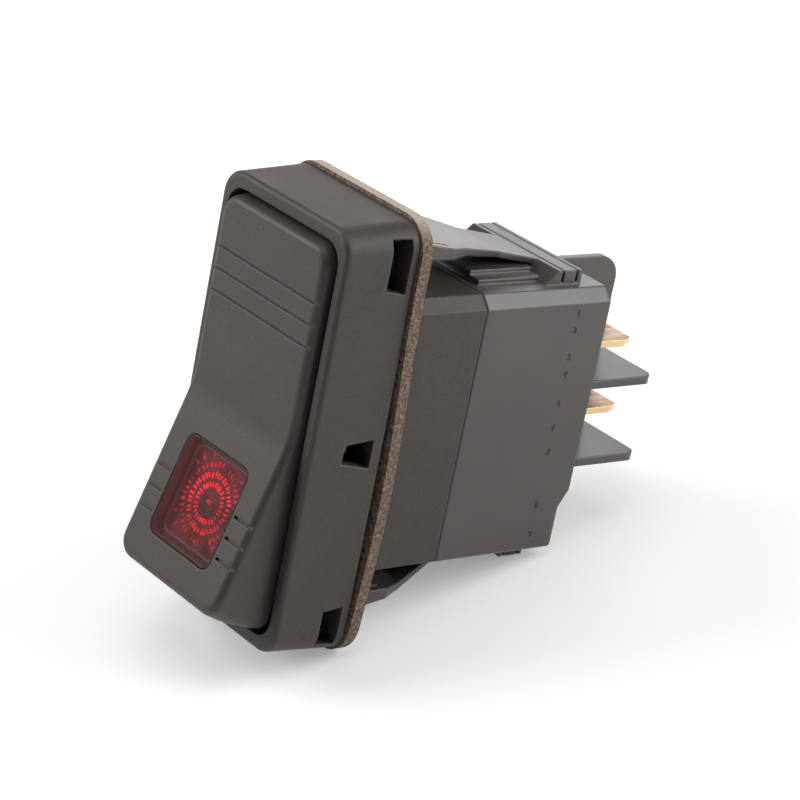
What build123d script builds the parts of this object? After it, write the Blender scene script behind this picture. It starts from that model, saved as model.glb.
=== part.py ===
from build123d import *
from math import asin, atan2, cos, radians, sin, sqrt, tan
import os

# Snap-in panel rocker switch with a red lens in one paddle, in millimetres.
# The origin is the centre of the seat that meets the panel's front face.
# -Y is the side a finger presses, +Y goes behind the panel, +Z is along the rocker.
# The switch is stored off: the three-groove end is pressed, the lens end stands out.

# Panel cut-out that the switch snaps into
cutout_width = 21.1
cutout_height = 36.8
panel_space = 2.2

# Bezel in front of the panel
bezel_width = 23.4
bezel_height = 49.9
bezel_depth = 9.7
bezel_side_draft = 1.0
bezel_end_draft = 3.5
bezel_corner = 3.0
bezel_edge_round = 0.6
rim_side = 1.3
rim_end = 1.65
rim_depth = 1.6
well_relief = 0.4
well_corner = 2.6
flange_web = 1.0

# Windows through the bezel's side walls
window_depth = 2.65
window_end = 24.1
top_window_start = 18.4
top_window_flare = 0.5
bottom_window_start = 19.7
bottom_window_flare = 0.4
notch_front = 5.15
notch_back = 1.25
notch_front_top = 0.55
notch_front_bottom = -1.65
notch_back_top = 1.0
notch_back_bottom = -2.45

# Gasket between the bezel and the panel
gasket_thickness = 1.4
gasket_side_overhang = 0.5
gasket_end_overhang = 0.45
gasket_corner = 4.0
gasket_ease = 0.1

# Body behind the panel
body_side_clearance = 0.1
body_height = 32.4
body_chamfer = 1.4
body_bottom_round = 0.5
body_reach = 29.8
parting_reach = 11.3
parting_bevel = 0.15
sleeve_wall = 1.5
sleeve_ledge = 0.5
rear_wall = 2.0
back_step = 0.85
back_step_height = 8.8
back_step_slope = 1.5
rear_edge_round = 0.6
locating_width = 12.0
locating_reach = 5.0
locating_clearance = 0.2

# Snap wings and the connector lugs that carry them
wing_tip_height = 22.1
wing_tip_thickness = 2.0
wing_knee_reach = 9.6
wing_knee_height = 20.9
wing_knee_thickness = 0.9
wing_crease_reach = 18.0
wing_crease_height = 18.9
wing_crease_thickness = 0.7
wing_half_width = 8.0
wing_neck_half_width = 4.0
wing_taper_start = 7.0
wing_taper_end = 17.0
wing_root_margin = 0.3
wing_slit_place = 6.9
wing_slit_width = 0.3
wing_slit_length = 4.4
platform_front = 12.6
platform_half_width = 6.5
platform_rise = 0.6
platform_rib_half_width = 4.8
platform_rib_rise = 0.5
lug_half_width = 8.0
lug_front = 21.3
lug_ramp = 1.9
lug_back = 26.7
lug_rise = 1.7
lug_slit = 0.35
lug_slit_reach = 23.7
lug_rib = 0.6
lug_rib_gap = 0.3
lug_groove_floor = 0.3

# Barriers between the blades
barrier_thickness = 1.0
barrier_reach = 39.7
barrier_top = 16.3
barrier_bottom = 9.0
barrier_corner = 3.0
fin_offset = 4.9
fin_drop = 0.65
fin_reach = 39.8
fin_half_width = 10.2
fin_corner = 1.4

# Blades and how they leave the rear wall
blade_width = 6.3
blade_thickness = 0.8
blade_reach = 37.1
blade_tip_chamfer = 0.75
blade_tip_taper = 1.5
row_pitch = 8.4
column_offset = 5.1
slot_clearance = 0.05
blade_pad_height = 1.1
blade_pad_reach = 1.3
lamp_blade_inside = 5.8

# Rocker
rocker_half_width = 9.75
rocker_end_radius = 23.1
rocker_face_distance = 5.3
rocker_tilt = 8.8
rocker_edge_round = 0.9
rocker_corner = 2.4
rocker_valley_round = 14.0
rocker_wall = 1.8
rocker_skirt_wall = 1.4
rocker_skirt_angle = 1.5
pivot_setback = 4.1
trunnion_radius = 1.2
trunnion_length = 1.4
running_clearance = 0.05
trunnion_boss = 2.6
trunnion_boss_inset = 0.3
groove_width = 0.36
groove_depth = 0.35
groove_end_margin = 6.0
groove_pitch = 2.52
groove_count = 3
groove_lens_gap = 0.5
gusset_thickness = 1.2
gusset_height = 8.0
gusset_length = 7.0

# Lens in the lower paddle
lens_width = 11.7
lens_height = 12.2
lens_end_margin = 4.0
lens_corner = 1.3
lens_plate = 1.2
lens_ledge = 0.8
lens_gap = 0.12

# Stem, plunger and spring inside the rocker
stem_width = 5.0
stem_height = 5.0
stem_reach = 15.4
bore_depth = 12.2
plunger_radius = 1.5
plunger_reach = 18.2
plunger_length = 7.0
spring_wire = 0.36
spring_turns = 4
wire_sides = 5
spring_side_gap = 0.15
spring_end_gap = 0.05

# Rocking contact and its knife edge
lever_swing = 8.0
lever_width = 4.2
lever_thickness = 0.6
lever_gap = 0.1
lever_trough_margin = 0.7
lever_half_length = 9.6
contact_centre = 8.2
contact_radius = 1.3
contact_height = 0.5
contact_gap = 0.06
knife_radius = 0.4
knife_gap = 0.06
ear_thickness = 0.8
ear_gap = 0.15
ear_rise = 1.6
ear_height = 3.2
load_plate_height = 4.2
rest_pad_height = 3.0
rest_pad_gap = 0.1

# Plate that closes the front of the contact chamber and carries the lamp
carrier_front = 7.3
carrier_thickness = 1.6
carrier_clearance = 0.05
seal_thickness = 0.8
seal_width = 1.0
tongue_root = 2.7
stem_slot_clearance = 0.5
lamp_height = -9.6
lamp_radius = 1.5
lamp_flange = 0.35
lamp_flange_thickness = 0.8
lamp_body_length = 3.6
lamp_front = 8.6
tower_wall = 1.0
lamp_side = 0.0
lead_wire = 0.45
lead_spread = 1.27
lead_clearance = 0.08
resistor_radius = 0.95
resistor_length = 4.0
resistor_standoff = 2.4
lead_bend = 0.72
lead_rise = 1.2
lead_climb = 4.0
lead_overlap = 1.5
lead_join_offset = 1.0
return_turn = 12.6
return_run = 3.0
partition_thickness = 0.9
partition_reach = 15.0

# Stop pads that the pressed end of the rocker comes down on
stop_height = 20.0
stop_length = 2.0
stop_half_width = 9.0
stop_gap = 0.12

# How far one merged block runs into the next, and how far a cutter runs past a face
embed = 0.5
past = 1.0

# Places that follow from the sizes above
bezel_back = -gasket_thickness
bezel_front = bezel_back - bezel_depth
bezel_back_width = bezel_width + 2 * bezel_depth * tan(radians(bezel_side_draft))
bezel_back_height = bezel_height + 2 * bezel_depth * tan(radians(bezel_end_draft))
well_floor = bezel_back - flange_web
pivot_y = bezel_front + pivot_setback
body_width = cutout_width - 2 * body_side_clearance
chamber_width = body_width - 2 * sleeve_wall
chamber_height = body_height - 2 * sleeve_wall
body_half_height = body_height / 2
rear_inside = body_reach - rear_wall
lamp_blade_root = rear_inside - lamp_blade_inside
carrier_back = carrier_front + carrier_thickness
seal_back = carrier_back + seal_thickness
blade_half = blade_thickness / 2
paddle_length = sqrt(rocker_end_radius**2 - rocker_face_distance**2)
lens_centre = paddle_length - lens_end_margin - lens_height / 2
groove_last = paddle_length - groove_end_margin
well_half_height = bezel_height / 2 - rim_end + well_relief
well_half_width = bezel_width / 2 - rim_side


def prism_y(sketch, y_from, y_to):
    """Raise an XZ sketch from one depth to another."""
    return extrude(Plane.XZ.offset(-y_from) * sketch, amount=y_from - y_to)


def prism_x(sketch, x_from, x_to):
    """Raise a side-view sketch, drawn as (y, z), from one side to another."""
    return extrude(Plane.YZ.offset(x_from) * sketch, amount=x_to - x_from)


def prism_z(sketch, z_from, z_to):
    """Raise a plan-view sketch, drawn as (x, y), from one height to another."""
    return extrude(Plane.XY.offset(z_from) * sketch, amount=z_to - z_from)


def block(x_from, x_to, y_from, y_to, z_from, z_to):
    """A plain block between two corners."""
    size = (x_to - x_from, y_to - y_from, z_to - z_from)
    centre = ((x_from + x_to) / 2, (y_from + y_to) / 2, (z_from + z_to) / 2)
    return Pos(*centre) * Box(*size)


def outline(points):
    """A filled outline with straight sides."""
    return make_face(Polyline(*points, close=True))


def rod_y(radius, y_from, y_to, x=0.0, z=0.0):
    """A round rod along Y."""
    return prism_y(Pos(x, z) * Circle(radius), y_from, y_to)


def turn_about_x(shape, angle, y, z=0.0):
    """Turn a shape about a line along X through (y, z)."""
    return Pos(0, y, z) * Rot(angle, 0, 0) * Pos(0, -y, -z) * shape


def mirrored_z(shape):
    return shape + mirror(shape, about=Plane.XY)


def mirrored_x(shape):
    return shape + mirror(shape, about=Plane.YZ)


def body_section(width, height):
    """The body's cross-section: bevelled along the top, lightly rounded below."""
    sketch = Rectangle(width, height)
    upper = sketch.vertices().filter_by(lambda v: v.Y > 0)
    sketch = chamfer(upper, body_chamfer)
    lower = sketch.vertices().group_by(Axis.Y)[0]
    return fillet(lower, body_bottom_round)


def bezel_windows():
    """Corner windows and the notch behind each trunnion, as solids to cut away."""
    back = well_floor
    front = back - window_depth
    outside = bezel_back_width / 2 + past
    windows = []
    for side, start, flare in (
        (1, top_window_start, top_window_flare),
        (-1, bottom_window_start, bottom_window_flare),
    ):
        edges = outline(
            [
                (front, side * start),
                (back, side * (start - flare)),
                (back, side * window_end),
                (front, side * window_end),
            ]
        )
        windows.append(prism_x(edges, well_half_width - past, outside))
    notch = outline(
        [
            (bezel_back - notch_front, notch_front_bottom),
            (bezel_back - notch_back, notch_back_bottom),
            (bezel_back - notch_back, notch_back_top),
            (bezel_back - notch_front, notch_front_top),
        ]
    )
    windows.append(prism_x(notch, well_half_width - past, outside))
    return mirrored_x(windows[0] + windows[1] + windows[2])


def bezel_block():
    """The bezel's outside: sides and ends drafted towards the front, corners rounded."""
    half_width, back_half_width = bezel_width / 2, bezel_back_width / 2
    half_height, back_half_height = bezel_height / 2, bezel_back_height / 2
    plan = outline(
        [
            (-half_width, bezel_front),
            (half_width, bezel_front),
            (back_half_width, bezel_back),
            (-back_half_width, bezel_back),
        ]
    )
    side = outline(
        [
            (bezel_front, -half_height),
            (bezel_front, half_height),
            (bezel_back, back_half_height),
            (bezel_back, -back_half_height),
        ]
    )
    bezel = prism_z(plan, -back_half_height, back_half_height)
    bezel &= prism_x(side, -back_half_width, back_half_width)
    corners = [e for e in bezel.edges() if e.bounding_box().size.Y > bezel_depth / 2]
    bezel = fillet(corners, bezel_corner)
    return fillet(bezel.faces().sort_by(Axis.Y)[0].edges(), bezel_edge_round)


def front_housing():
    """Bezel and front half of the body in one moulding."""
    bezel = bezel_block()
    opening_height = bezel_height - 2 * rim_end
    mouth = RectangleRounded(2 * well_half_width, opening_height, well_corner)
    well = RectangleRounded(2 * well_half_width, 2 * well_half_height, well_corner)
    bezel -= prism_y(mouth, bezel_front - past, bezel_front + rim_depth)
    bezel -= prism_y(well, bezel_front + rim_depth, well_floor)
    sleeve = prism_y(body_section(body_width, body_height), well_floor, parting_reach)
    back_edges = sleeve.faces().sort_by(Axis.Y)[-1].edges()
    sleeve = chamfer(back_edges, parting_bevel)
    pad_top = cutout_height / 2 - locating_clearance
    pad = block(
        -locating_width / 2,
        locating_width / 2,
        bezel_back - embed,
        locating_reach,
        body_half_height - embed,
        pad_top,
    )
    housing = bezel + sleeve + mirrored_z(pad)
    narrow = Rectangle(chamber_width - 2 * sleeve_ledge, chamber_height - 2 * sleeve_ledge)
    wide = Rectangle(chamber_width, chamber_height)
    housing -= prism_y(narrow, well_floor - past, carrier_front)
    housing -= prism_y(wide, carrier_front, parting_reach + past)
    housing -= bezel_windows()
    hole = prism_x(
        Pos(pivot_y, 0) * Circle(trunnion_radius + running_clearance),
        well_half_width - past,
        rocker_half_width + trunnion_length + running_clearance,
    )
    housing -= mirrored_x(hole)
    return housing + mirrored_z(stop_pad())


def stop_pad():
    """Pad on the well floor under one end of the rocker."""
    t = radians(rocker_tilt)
    top = stop_height + stop_length / 2
    touch = pivot_y + skirt_edge_depth() / cos(t) + top * tan(t)
    return block(
        -stop_half_width,
        stop_half_width,
        touch + stop_gap,
        well_floor + embed,
        stop_height - stop_length / 2,
        top,
    )


def skirt_edge_depth():
    """Depth of the skirt's back edge behind the pivot, with the rocker level."""
    return -rocker_end_radius * sin(radians(rocker_skirt_angle))


def panel_gasket():
    """Flat ring of gasket sheet, with an opening that passes the body."""
    width = bezel_back_width + 2 * gasket_side_overhang
    height = bezel_back_height + 2 * gasket_end_overhang
    ring = RectangleRounded(width, height, gasket_corner)
    ring -= Rectangle(cutout_width + 2 * gasket_ease, cutout_height + 2 * gasket_ease)
    return prism_y(ring, bezel_back, 0)


def wing(side):
    """One snap wing, sprung forward from its lug. side is 1 for the top, -1 below."""
    root = lug_slit_reach - wing_root_margin
    profile = outline(
        [
            (panel_space, side * wing_tip_height),
            (wing_knee_reach, side * wing_knee_height),
            (wing_crease_reach, side * wing_crease_height),
            (root, side * (body_half_height + lug_rise)),
            (root, side * (body_half_height + lug_rise - wing_crease_thickness)),
            (wing_crease_reach, side * (wing_crease_height - wing_crease_thickness)),
            (wing_knee_reach, side * (wing_knee_height - wing_knee_thickness)),
            (panel_space, side * (wing_tip_height - wing_tip_thickness)),
        ]
    )
    half = wing_half_width
    neck = wing_neck_half_width
    plan = outline(
        [
            (-half, panel_space),
            (half, panel_space),
            (half, wing_taper_start),
            (neck, wing_taper_end),
            (neck, root),
            (-neck, root),
            (-neck, wing_taper_end),
            (-half, wing_taper_start),
        ]
    )
    top = side * (wing_tip_height + past)
    low = side * body_half_height
    sprung = prism_x(profile, -half, half) & prism_z(plan, min(top, low), max(top, low))
    slit = block(
        wing_slit_place - wing_slit_width / 2,
        wing_slit_place + wing_slit_width / 2,
        panel_space - past,
        panel_space + wing_slit_length,
        min(top, low),
        max(top, low),
    )
    return sprung - mirrored_x(slit)


def platform(side):
    """Stepped platform on the body under one snap wing."""
    shape = None
    steps = [
        (platform_half_width, platform_rise),
        (platform_rib_half_width, platform_rise + platform_rib_rise),
    ]
    for half, rise in steps:
        edges = (side * (body_half_height - embed), side * (body_half_height + rise))
        level = block(-half, half, platform_front, lug_front + embed, min(edges), max(edges))
        shape = level if shape is None else shape + level
    return shape


def lug(side):
    """Ramped connector lug across the body, with its slit and rear rib."""
    low = side * (body_half_height - embed)
    high = side * (body_half_height + lug_rise)
    profile = outline(
        [
            (lug_front, low),
            (lug_front, side * body_half_height),
            (lug_front + lug_ramp, high),
            (lug_back, high),
            (lug_back, low),
        ]
    )
    shape = prism_x(profile, -lug_half_width, lug_half_width)
    floor = side * (body_half_height + lug_groove_floor)
    over = high + side * past
    span = (min(floor, over), max(floor, over))
    slit = block(
        -lug_half_width - past,
        lug_half_width + past,
        lug_slit_reach,
        lug_slit_reach + lug_slit,
        *span,
    )
    rib_front = lug_back - lug_rib - lug_rib_gap
    groove = block(
        -lug_half_width - past, lug_half_width + past, rib_front, rib_front + lug_rib_gap, *span
    )
    return shape - slit - groove


def blade_places():
    """Centre of each blade in the rear wall, as (x, z)."""
    return [
        (column_offset, 0.0),
        (column_offset, row_pitch),
        (-column_offset, row_pitch),
        (-column_offset, -row_pitch),
    ]


def barriers():
    """Upright barrier and the two level fins behind the rear wall."""
    upright = prism_x(
        outline(
            [
                (rear_inside, -barrier_bottom),
                (barrier_reach, -barrier_bottom),
                (barrier_reach, barrier_top),
                (rear_inside, barrier_top),
            ]
        ),
        -barrier_thickness / 2,
        barrier_thickness / 2,
    )
    corners = upright.edges().filter_by(Axis.X).group_by(Axis.Y)[-1]
    upright = fillet(corners, barrier_corner)
    fin = block(
        -fin_half_width,
        fin_half_width,
        rear_inside,
        fin_reach,
        fin_offset - barrier_thickness / 2,
        fin_offset + barrier_thickness / 2,
    )
    corners = fin.edges().filter_by(Axis.Z).group_by(Axis.Y)[-1]
    fin = fillet(corners, fin_corner)
    return upright + Pos(0, 0, -fin_drop) * mirrored_z(fin)


def terminal_base():
    """Rear half of the body: contact chamber, rear wall, lugs, wings and barriers."""
    shell = prism_y(body_section(body_width, body_height), parting_reach, body_reach)
    shell = chamfer(shell.faces().sort_by(Axis.Y)[0].edges(), parting_bevel)
    step = outline(
        [
            (body_reach + past, -back_step_height),
            (body_reach, -back_step_height),
            (body_reach - back_step, -back_step_height - back_step_slope),
            (body_reach - back_step, -body_height),
            (body_reach + past, -body_height),
        ]
    )
    shell -= prism_x(step, -body_width, body_width)
    lowest = shell.edges().filter_by(Axis.X).group_by(Axis.Z)[0].sort_by(Axis.Y)[-1]
    shell = fillet([lowest], rear_edge_round)
    tongue = Rectangle(
        chamber_width - 2 * carrier_clearance, chamber_height - 2 * carrier_clearance
    )
    shell += prism_y(tongue, seal_back, parting_reach + embed)
    inside = Rectangle(chamber_width - 2 * seal_width, chamber_height - 2 * seal_width)
    shell -= prism_y(inside, seal_back - past, parting_reach + tongue_root)
    chamber = Rectangle(chamber_width, chamber_height)
    shell -= prism_y(chamber, parting_reach + tongue_root, rear_inside)
    shell += block(
        -partition_thickness / 2,
        partition_thickness / 2,
        partition_reach,
        rear_inside + embed,
        -chamber_height / 2 - embed,
        chamber_height / 2 + embed,
    )
    base = shell + barriers() + rest_pad()
    for side in (1, -1):
        base += lug(side)
        base += wing(side)
        base += platform(side)
    for x, z in blade_places():
        pad_low = z - blade_half - blade_pad_height
        base += block(
            x - blade_width / 2,
            x + blade_width / 2,
            rear_inside,
            body_reach + blade_pad_reach,
            pad_low,
            z,
        )
    for x, z in blade_places():
        half = blade_width / 2 + slot_clearance
        base -= block(
            x - half,
            x + half,
            rear_inside - past,
            body_reach + blade_pad_reach + past,
            z - blade_half,
            z + blade_half + slot_clearance,
        )
    return base


def blade(x, z, root):
    """Flat push-on blade with a tapered tip, lying level at height z."""
    half = blade_width / 2
    tip = half - blade_tip_chamfer
    plan = outline(
        [
            (x - half, root),
            (x + half, root),
            (x + half, blade_reach - blade_tip_taper),
            (x + tip, blade_reach),
            (x - tip, blade_reach),
            (x - half, blade_reach - blade_tip_taper),
        ]
    )
    return prism_z(plan, z - blade_half, z + blade_half)


def turned(y, z, angle):
    """Turn the point (y, z) about the origin by an angle in radians."""
    return y * cos(angle) - z * sin(angle), y * sin(angle) + z * cos(angle)


def nose_in_lever(tilt, swing):
    """Where the plunger's nose centre lies, as the lever sees it, from the knife edge."""
    y, z = turned(plunger_reach - plunger_radius - pivot_y, 0.0, radians(tilt))
    return turned(y + pivot_y - knife_y, z, -radians(swing))


# The nose of the plunger, seen by the rocking contact, runs along a shallow arc.
# The trough in the contact follows that arc, so the nose stays the same gap away.
lever_inside = plunger_reach + lever_gap
knife_y = lever_inside + lever_thickness + knife_gap + knife_radius
middle_y, middle_z = nose_in_lever(0.0, 0.0)
end_y, end_z = nose_in_lever(rocker_tilt, -lever_swing)
nose_rise = middle_y - end_y
nose_arc = (end_z**2 + nose_rise**2) / (2 * nose_rise)
trough_radius = nose_arc + plunger_radius + lever_gap
trough_centre = lever_inside - trough_radius
trough_lift = asin((end_z + lever_trough_margin) / trough_radius)


def rocker_point(distance, along, side):
    """A point over one paddle, from the pivot, with the rocker level."""
    t = radians(rocker_tilt)
    y = -distance * cos(t) - along * sin(t)
    z = -distance * sin(t) + along * cos(t)
    return y, side * z


def paddle_frame(side, along=0.0, distance=rocker_face_distance):
    """Plane on a paddle's face: its x runs along X, its normal stands off the face."""
    t = radians(rocker_tilt)
    y, z = rocker_point(distance, along, side)
    normal = (0, -cos(t), -side * sin(t))
    return Plane(origin=(0, y + pivot_y, z), x_dir=(1, 0, 0), z_dir=normal)


def rocker_side(distance, radius, back_top):
    """Side view of the rocker, level, about the pivot: two faces and two end arcs."""
    t = radians(rocker_tilt)
    along = sqrt(radius**2 - distance**2)
    corner_y, corner_z = rocker_point(distance, along, 1)
    valley_y = -distance / cos(t)
    low_z = sqrt(radius**2 - back_top**2)
    mid = (atan2(corner_z, corner_y) + atan2(low_z, back_top)) / 2
    mid_y, mid_z = radius * cos(mid), radius * sin(mid)
    upper = Line((valley_y, 0), (corner_y, corner_z))
    upper += ThreePointArc((corner_y, corner_z), (mid_y, mid_z), (back_top, low_z))
    lower = mirror(upper, about=Plane.XZ)
    back = Line((back_top, low_z), (back_top, -low_z))
    return Pos(pivot_y, 0) * make_face(upper + back + lower)


def rocker_shell():
    """Outer and inner form of the rocker, level."""
    skirt = skirt_edge_depth()
    outer = prism_x(
        rocker_side(rocker_face_distance, rocker_end_radius, skirt),
        -rocker_half_width,
        rocker_half_width,
    )
    outer = fillet(outer.edges().filter_by(GeomType.CIRCLE), rocker_corner)
    valley = outer.edges().filter_by(Axis.X).sort_by(lambda e: abs(e.center().Z))[0]
    outer = fillet([valley], rocker_valley_round)
    outer = fillet(paddle_rim(outer), rocker_edge_round)
    inner_half = rocker_half_width - rocker_skirt_wall
    inner = prism_x(
        rocker_side(
            rocker_face_distance - rocker_wall,
            rocker_end_radius - rocker_skirt_wall,
            skirt + past,
        ),
        -inner_half,
        inner_half,
    )
    return outer, inner


def paddle_rim(shape):
    """The edges all round the two paddles and the valley between them."""
    front = [f for f in shape.faces() if f.normal_at(f.center()).Y < -cos(radians(2 * rocker_tilt))]
    edges = [e for f in front for e in f.edges()]
    return [e for e in edges if sum(e.is_same(other) for other in edges) == 1]


def paddle_box(side, width, along_from, along_to, depth_from, depth_to, round_by=0.0):
    """A block let into a paddle, from one depth under its face to another."""
    plane = paddle_frame(side, (along_from + along_to) / 2)
    height = along_to - along_from
    sketch = RectangleRounded(width, height, round_by) if round_by else Rectangle(width, height)
    return extrude(plane.offset(-depth_from) * sketch, amount=depth_from - depth_to)


def grooves():
    """Grip grooves on both paddles. The lens interrupts the lower ones."""
    cuts = []
    for number in range(groove_count):
        middle = groove_last - number * groove_pitch
        low = middle - groove_width / 2
        high = middle + groove_width / 2
        whole = 2 * (rocker_half_width + past)
        cuts.append(paddle_box(1, whole, low, high, -past, groove_depth))
        lower = paddle_box(-1, whole, low, high, -past, groove_depth)
        spared = lens_width + 2 * groove_lens_gap
        lower -= paddle_box(
            -1, spared, low - past, high + past, -2 * past, groove_depth + past
        )
        cuts.append(lower)
    return cuts


def rocker_level():
    """The whole rocker, level: shell, stem, trunnions, grooves and lens seat."""
    outer, inner = rocker_shell()
    stem = block(
        column_offset - stem_width / 2,
        column_offset + stem_width / 2,
        pivot_y - rocker_face_distance + rocker_wall / 2,
        stem_reach,
        -stem_height / 2,
        stem_height / 2,
    )
    boss = prism_x(
        Pos(pivot_y, 0) * Circle(trunnion_boss),
        rocker_half_width - rocker_skirt_wall - trunnion_boss_inset,
        rocker_half_width,
    )
    pin = prism_x(
        Pos(pivot_y, 0) * Circle(trunnion_radius),
        rocker_half_width - rocker_skirt_wall,
        rocker_half_width + trunnion_length,
    )
    under = pivot_y - rocker_face_distance + rocker_wall / 2
    gusset = prism_x(
        outline(
            [
                (under, 0),
                (under, stem_height / 2 + gusset_height),
                (under + gusset_length, stem_height / 2),
                (under + gusset_length, 0),
            ]
        ),
        column_offset - gusset_thickness / 2,
        column_offset + gusset_thickness / 2,
    )
    rocker = outer - inner + stem + gusset + mirrored_x(boss + pin)
    rocker -= rod_y(
        plunger_radius + running_clearance,
        stem_reach - bore_depth,
        stem_reach + past,
        column_offset,
    )
    seat_width = lens_width + 2 * lens_gap
    seat_height = lens_height + 2 * lens_gap
    low = lens_centre - seat_height / 2
    high = lens_centre + seat_height / 2
    rocker -= paddle_box(-1, seat_width, low, high, -past, lens_plate, lens_corner + lens_gap)
    rocker -= paddle_box(
        -1,
        seat_width - 2 * lens_ledge,
        low + lens_ledge,
        high - lens_ledge,
        0,
        rocker_wall + past,
        lens_corner,
    )
    for cut in grooves():
        rocker -= cut
    return rocker


def lens_level():
    """Red lens: a flush plate with a thicker middle that fills the seat."""
    low = lens_centre - lens_height / 2
    high = lens_centre + lens_height / 2
    step = lens_ledge + lens_gap / 2
    plate = paddle_box(-1, lens_width, low, high, 0, lens_plate, lens_corner)
    middle = paddle_box(
        -1, lens_width - 2 * step, low + step, high - step, 0, rocker_wall, lens_corner - lens_gap
    )
    return plate + middle


def plunger_level():
    """Plunger with a domed nose, sliding in the stem."""
    body = rod_y(
        plunger_radius,
        plunger_reach - plunger_length,
        plunger_reach - plunger_radius,
        column_offset,
    )
    nose = Pos(column_offset, plunger_reach - plunger_radius, 0) * Sphere(plunger_radius)
    return body + nose


def plunger_spring_level():
    """Coil spring behind the plunger, inside the stem, of five-sided stand-in wire."""
    front = stem_reach - bore_depth + spring_end_gap + spring_wire / 2
    back = plunger_reach - plunger_length - spring_end_gap - spring_wire / 2
    mean = plunger_radius - spring_side_gap - spring_wire / 2
    path = Helix((back - front) / spring_turns, back - front, mean)
    path = Pos(column_offset, front, 0) * Rot(-90, 0, 0) * path
    start = Plane(origin=path @ 0, z_dir=path % 0)
    wire = RegularPolygon(spring_wire / 2, wire_sides)
    return sweep(start * wire, path=path, is_frenet=True)


def lever_line(radius):
    """One face of the lever's upper half: where its trough ends and its arm's tip."""
    z = radius * sin(trough_lift)
    y = trough_centre + radius * cos(trough_lift)
    return (y, z), (y - (lever_half_length - z) * tan(radians(lever_swing)), lever_half_length)


def lever_level():
    """Rocking contact strip: a trough over the knife edge and an arm to each side."""
    edges = []
    for radius in (trough_radius, trough_radius + lever_thickness):
        bend, tip = lever_line(radius)
        low = (trough_centre + radius, 0.0)
        half_way = (
            trough_centre + radius * cos(trough_lift / 2),
            radius * sin(trough_lift / 2),
        )
        edges += [ThreePointArc(low, half_way, bend), Line(bend, tip)]
    inner_arc, inner_arm, outer_arc, outer_arm = edges
    half = Curve() + [
        inner_arc,
        inner_arm,
        Line(inner_arm @ 1, outer_arm @ 1),
        outer_arm,
        outer_arc,
        Line(outer_arc @ 0, inner_arc @ 0),
    ]
    strip = prism_x(
        make_face(half), column_offset - lever_width / 2, column_offset + lever_width / 2
    )
    return mirrored_z(strip)


def lever_back_at_contact():
    """Depth of the upper arm's back face at the contact, with the lever level."""
    bend, tip = lever_line(trough_radius + lever_thickness)
    return bend[0] - (contact_centre - bend[1]) * tan(radians(lever_swing))


def moving_contact_level():
    """Silver button riveted to the back of the lever's upper arm."""
    plane = Plane(
        origin=(column_offset, lever_back_at_contact(), contact_centre),
        x_dir=(1, 0, 0),
        z_dir=(0, cos(radians(lever_swing)), sin(radians(lever_swing))),
    )
    return extrude(plane * Circle(contact_radius), amount=contact_height)


def closed_face():
    """Depth and height of the moving contact's face when the switch is on."""
    t = radians(lever_swing)
    y = lever_back_at_contact() + contact_height * cos(t) - knife_y
    z = contact_centre + contact_height * sin(t)
    y, z = turned(y, z, -t)
    return y + knife_y, z


def lever_rest_depth():
    """Depth of the pressed arm's back face, which lies level when pressed home."""
    return closed_face()[0] - contact_height


def rest_pad():
    """Pad in the base that the lever's lower arm comes to rest on."""
    front = lever_rest_depth() + rest_pad_gap
    return block(
        column_offset - lever_width / 2,
        column_offset + lever_width / 2,
        front,
        rear_inside + embed,
        -contact_centre - rest_pad_height / 2,
        -contact_centre + rest_pad_height / 2,
    )


def common_terminal():
    """Middle blade, ending in the knife edge and two ears that guide the lever."""
    terminal = blade(column_offset, 0.0, knife_y)
    knife = prism_x(
        Pos(knife_y, 0) * Circle(knife_radius),
        column_offset - blade_width / 2,
        column_offset + blade_width / 2,
    )
    ear_inner = lever_width / 2 + ear_gap
    ear = block(
        column_offset + ear_inner,
        column_offset + ear_inner + ear_thickness,
        knife_y - ear_rise,
        knife_y + ear_rise,
        -ear_height / 2,
        ear_height / 2,
    )
    other = Pos(-2 * ear_inner - ear_thickness, 0, 0) * ear
    return terminal + knife + ear + other


def load_face():
    """Depth of the front of the plate that carries the fixed contact."""
    return closed_face()[0] + contact_gap + contact_height


def load_terminal():
    """Upper blade, with an upright plate at its root for the fixed contact."""
    front = load_face()
    middle = closed_face()[1]
    plate = block(
        column_offset - blade_width / 2,
        column_offset + blade_width / 2,
        front,
        front + blade_thickness,
        middle - load_plate_height / 2,
        middle + load_plate_height / 2,
    )
    return blade(column_offset, row_pitch, front + blade_half) + plate


def fixed_contact():
    """Silver button on the load terminal's plate."""
    return rod_y(
        contact_radius, load_face() - contact_height, load_face(), column_offset, closed_face()[1]
    )


def lamp_carrier():
    """Plate between the two halves, with a slot for the stem and the lamp's tower."""
    width = chamber_width - 2 * carrier_clearance
    height = chamber_height - 2 * carrier_clearance
    plate = prism_y(Rectangle(width, height), carrier_front, carrier_back)
    reach = carrier_back - pivot_y
    swing = reach * sin(radians(rocker_tilt)) + stem_height / 2 / cos(radians(rocker_tilt))
    plate -= block(
        column_offset - stem_width / 2 - stem_slot_clearance,
        column_offset + stem_width / 2 + stem_slot_clearance,
        carrier_front - past,
        carrier_back + past,
        -swing - stem_slot_clearance,
        swing + stem_slot_clearance,
    )
    outside = lamp_radius + lamp_flange + tower_wall
    lamp_back = lamp_seat()
    tower = rod_y(outside, lamp_back, carrier_front + embed, lamp_side, lamp_height)
    carrier = plate + tower
    for side in (-1, 1):
        carrier -= rod_y(
            lead_wire / 2 + lead_clearance,
            lamp_back - past,
            carrier_back + past,
            lamp_side + side * lead_spread,
            lamp_height,
        )
    return carrier


def lamp_seat():
    """Depth of the tower's front face, where the lamp sits."""
    return -lamp_front + lamp_body_length + lamp_radius


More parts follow.
